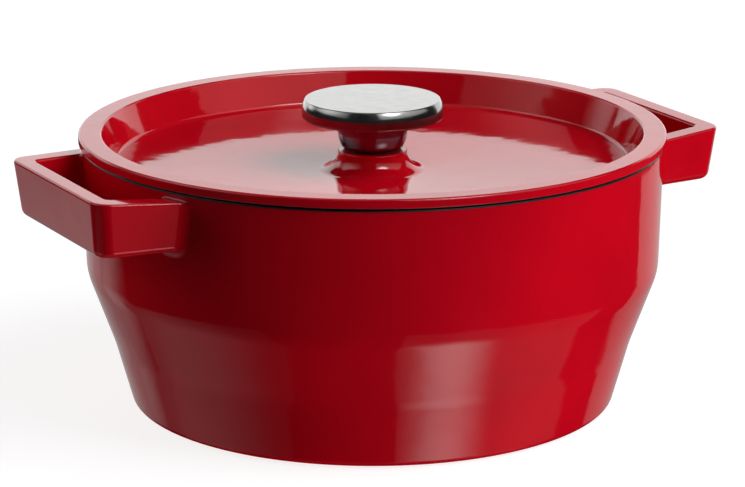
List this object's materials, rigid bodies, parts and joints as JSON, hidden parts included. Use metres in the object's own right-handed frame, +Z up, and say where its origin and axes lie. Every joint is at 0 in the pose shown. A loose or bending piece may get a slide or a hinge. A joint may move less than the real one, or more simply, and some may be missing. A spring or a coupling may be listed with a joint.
{
  "type": "dutch oven",
  "caption": "Round enamelled cast iron casserole with squared loop handles, a sunken lift-off lid and a steel disc knob.",
  "frame": {"origin": "centre of the base, on the surface that the pot stands on", "axes": "+Z up along the pot's axis, +X through the middle of one loop handle, +Y across the handles"},
  "size_m": [0.284, 0.24, 0.1251],
  "materials": {
    "red_enamel": "glossy enamel",
    "black_enamel": "satin enamel",
    "polished_steel": "polished",
    "brass": "machined",
    "black_rubber": "matte",
    "plated_steel": "satin"
  },
  "bodies": {
    "pot": {"pot_body": "red_enamel"},
    "lid": {"lid": "red_enamel", "knob_disc": "polished_steel", "knob_neck": "polished_steel", "threaded_bush": "brass", "knob_gasket": "black_rubber", "flat_washer": "plated_steel", "spring_washer": "plated_steel", "lid_screw": "plated_steel"}
  },
  "joints": [
    {"name": "lid_lift", "type": "slide", "parent": "pot", "child": "lid", "axis": [0, 0, 1], "range_m": [0, 0.15]}
  ]
}
